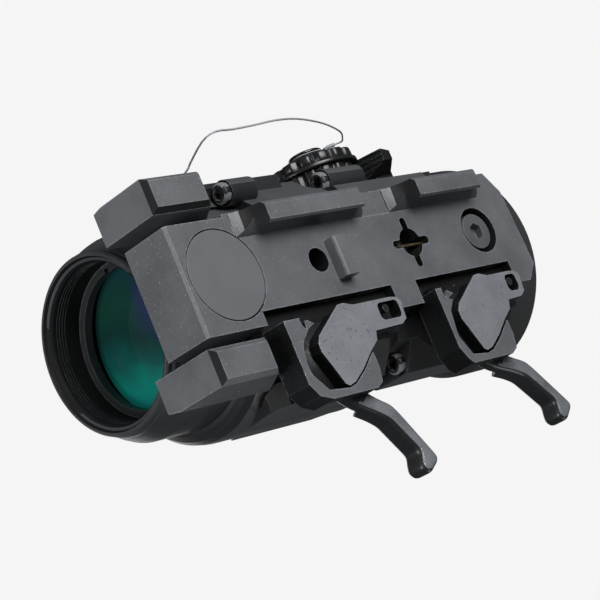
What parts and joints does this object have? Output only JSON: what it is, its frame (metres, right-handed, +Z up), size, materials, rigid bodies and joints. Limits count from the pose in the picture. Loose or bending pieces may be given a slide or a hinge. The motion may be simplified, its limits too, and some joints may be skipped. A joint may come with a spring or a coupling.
{
  "type": "prism optical sight with quick-detach rail mount",
  "caption": "Compact prism sighting scope on a quick-release accessory-rail base with throw levers, external zeroing, brightness dial and magnification lever.",
  "frame": {"origin": "on the flat rail seat (z = 0), below the optical axis (x = 0), at the middle of the recoil lug (y = 0)", "axes": "+Y is the way the sight looks, +X is the side of the throw levers, +Z points up from the rail seat to the optical axis"},
  "size_m": [0.0842, 0.1269, 0.0645],
  "materials": {
    "anodised": "hard black anodising, satin, lightly speckled",
    "anodised_grey": "worn grey-black hard coating, satin",
    "worn_steel": "worn phosphated steel, light at the edges",
    "steel": "plain machined steel",
    "black_steel": "near-black coated steel, slight sheen",
    "brass": "machined brass",
    "coated_glass": "green and blue anti-reflection coating",
    "glass": "polished clear glass",
    "rubber": "matt moulded rubber",
    "plastic": "matt black plastic",
    "cell": "nickel plated can"
  },
  "bodies": {
    "base": {"mount_base": "anodised_grey", "pivot_cover": "anodised_grey", "pivot_pin": "steel", "recoil_lug": "anodised_grey", "windage_nut": "black_steel", "nut_lock_wire": "brass", "front_clamp_bracket": "worn_steel", "rear_clamp_bracket": "worn_steel", "clamp_screws": "black_steel", "lever_pins": "steel", "jaw_guide_pins": "steel"},
    "front_lever": {"front_lever": "black_steel"},
    "front_jaw": {"front_jaw": "worn_steel"},
    "rear_lever": {"rear_lever": "black_steel"},
    "rear_jaw": {"rear_jaw": "worn_steel"},
    "traverse": {"traverse_plate": "anodised", "tilt_pin": "steel", "preload_spring": "steel"},
    "windage_screw": {"windage_screw": "steel"},
    "elevation_wheel": {"elevation_wheel": "anodised", "elevation_axle": "steel"},
    "elevation_nut": {"elevation_nut": "brass"},
    "mag_change": {"lens_carrier": "anodised", "carrier_lenses": "glass", "magnification_lever": "anodised", "lever_screw": "steel"},
    "dial": {"brightness_dial": "plastic"},
    "battery_cap": {"battery_cap": "plastic", "cap_seal": "rubber"},
    "optics": {"main_housing": "anodised", "left_cheek": "anodised", "right_cheek": "anodised", "cheek_screws": "black_steel", "side_screws": "black_steel", "tilt_bushings": "brass", "objective_bell": "anodised", "objective_retainer": "anodised", "objective_crown": "coated_glass", "objective_flint": "glass", "prism_cradle": "anodised", "prism_front": "glass", "prism_rear": "glass", "reticle_cell": "anodised", "reticle_glass": "glass", "reticle_lamp": "plastic", "top_cover": "anodised", "top_cover_screws": "black_steel", "eyepiece_body": "anodised", "field_lens": "glass", "lens_spacer": "anodised", "eye_lens": "glass", "eyepiece_retainer": "anodised", "eyecup": "rubber", "shaft_bushings": "brass", "battery_tube": "brass", "battery": "cell", "battery_spring": "steel", "cap_tether": "steel", "tether_sleeve": "steel", "tether_screw": "steel"}
  },
  "joints": [
    {"name": "front_lever_throw", "type": "hinge", "parent": "base", "child": "front_lever", "pos_m": [0.0217, 0.0128, 0], "axis": [0, 0, 1], "range_deg": [-58.6, 10]},
    {"name": "front_jaw_slide", "type": "slide", "parent": "base", "child": "front_jaw", "axis": [1, 0, 0], "range_m": [-0.00135, 0.00023]},
    {"name": "rear_lever_throw", "type": "hinge", "parent": "base", "child": "rear_lever", "pos_m": [0.0217, -0.0316, 0], "axis": [0, 0, 1], "range_deg": [-50, 10]},
    {"name": "rear_jaw_slide", "type": "slide", "parent": "base", "child": "rear_jaw", "axis": [1, 0, 0], "range_m": [-0.00115, 0.00023]},
    {"name": "windage_turn", "type": "hinge", "parent": "traverse", "child": "windage_screw", "pos_m": [0, -0.0196, 0.0172], "axis": [1, 0, 0], "range_deg": [-337, 337]},
    {"name": "traverse_swing", "type": "hinge", "parent": "base", "child": "traverse", "pos_m": [0, 0.032, 0], "axis": [0, 0, 1], "range_deg": [-0.52, 0.52]},
    {"name": "elevation_turn", "type": "hinge", "parent": "base", "child": "elevation_wheel", "pos_m": [0.0005, -0.0476, 0], "axis": [0, 0, 1], "range_deg": [-360, 360]},
    {"name": "elevation_nut_lift", "type": "slide", "parent": "base", "child": "elevation_nut", "axis": [0, 0, 1], "range_m": [-0.0005, 0.0005]},
    {"name": "optics_tilt", "type": "hinge", "parent": "traverse", "child": "optics", "pos_m": [0, 0.0115, 0.0136], "axis": [1, 0, 0], "range_deg": [-0.485, 0.485], "deforming": ["preload_spring"]},
    {"name": "mag_lever_turn", "type": "hinge", "parent": "optics", "child": "mag_change", "pos_m": [0, -0.058, 0.0336], "axis": [1, 0, 0], "range_deg": [-90, 0]},
    {"name": "brightness_turn", "type": "hinge", "parent": "optics", "child": "dial", "pos_m": [-0.027, -0.0414, 0.0336], "axis": [1, 0, 0], "range_deg": [0, 300]},
    {"name": "battery_cap_turn", "type": "hinge", "parent": "optics", "child": "battery_cap", "pos_m": [-0.032, -0.0414, 0.0336], "axis": [1, 0, 0], "range_deg": [0, 720]}
  ],
  "couplings": [
    {"joint": "front_jaw_slide", "follows": "front_lever_throw", "m_per_rad": 0.00132},
    {"joint": "rear_jaw_slide", "follows": "rear_lever_throw", "m_per_rad": 0.00132},
    {"joint": "windage_turn", "follows": "traverse_swing", "ratio": 648.4},
    {"joint": "elevation_nut_lift", "follows": "elevation_turn", "m_per_rad": -0.000079577},
    {"joint": "optics_tilt", "follows": "elevation_turn", "ratio": 0.0013472}
  ]
}
